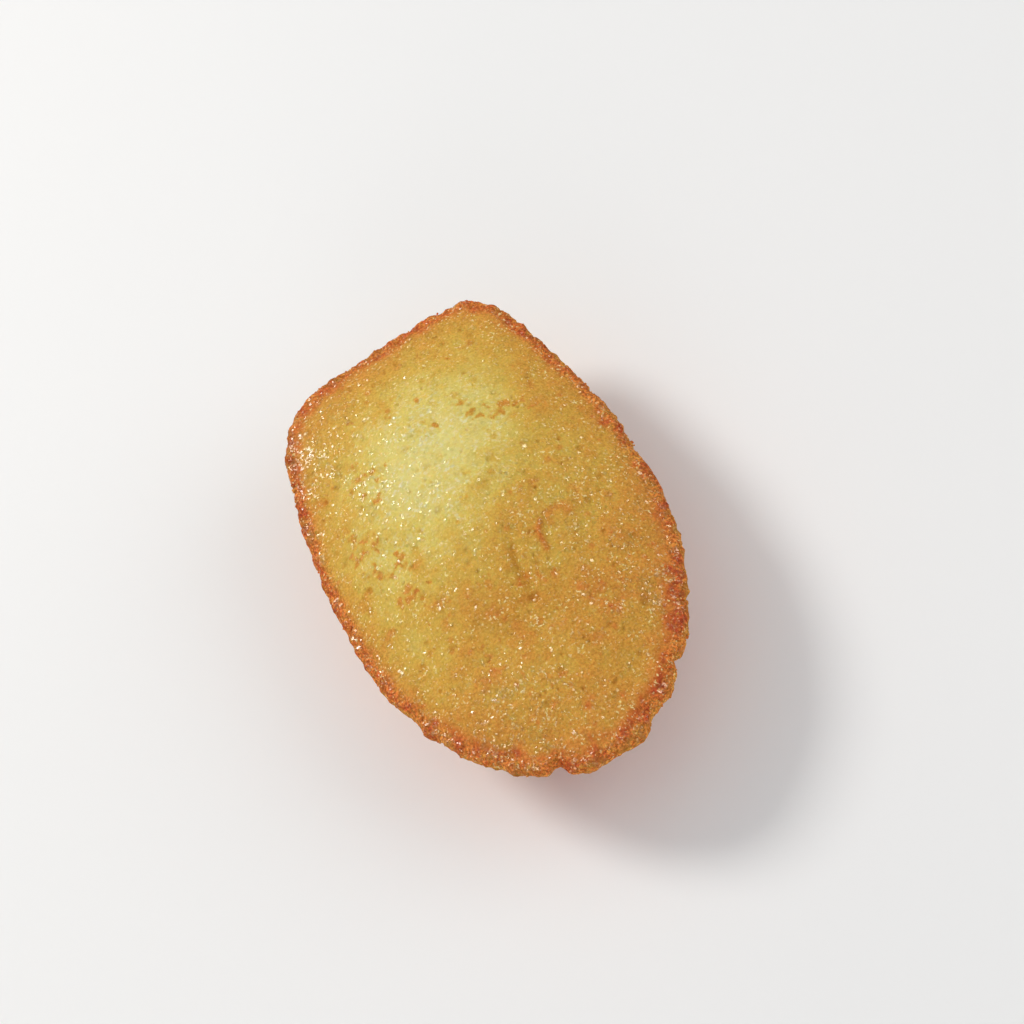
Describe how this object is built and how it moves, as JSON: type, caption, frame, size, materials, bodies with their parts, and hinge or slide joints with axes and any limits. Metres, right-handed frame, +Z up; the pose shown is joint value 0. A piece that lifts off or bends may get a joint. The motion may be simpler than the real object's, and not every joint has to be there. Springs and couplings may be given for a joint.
{
  "type": "madeleine",
  "caption": "Small shell-shaped sponge cake with a scalloped fan end, a squarish hinge end, a ribbed underside and a softly risen golden top.",
  "frame": {"origin": "middle of the cake's outline box, on the surface that it stands on", "axes": "+Y from the scalloped fan end to the squarish hinge end, +Z up out of the risen top, +X across"},
  "size_m": [0.0468, 0.0756, 0.0241],
  "materials": {
    "golden_crust": "baked crumb, moist and slightly glossy on the risen side"
  },
  "bodies": {
    "root": {"madeleine": "golden_crust"}
  },
  "joints": []
}
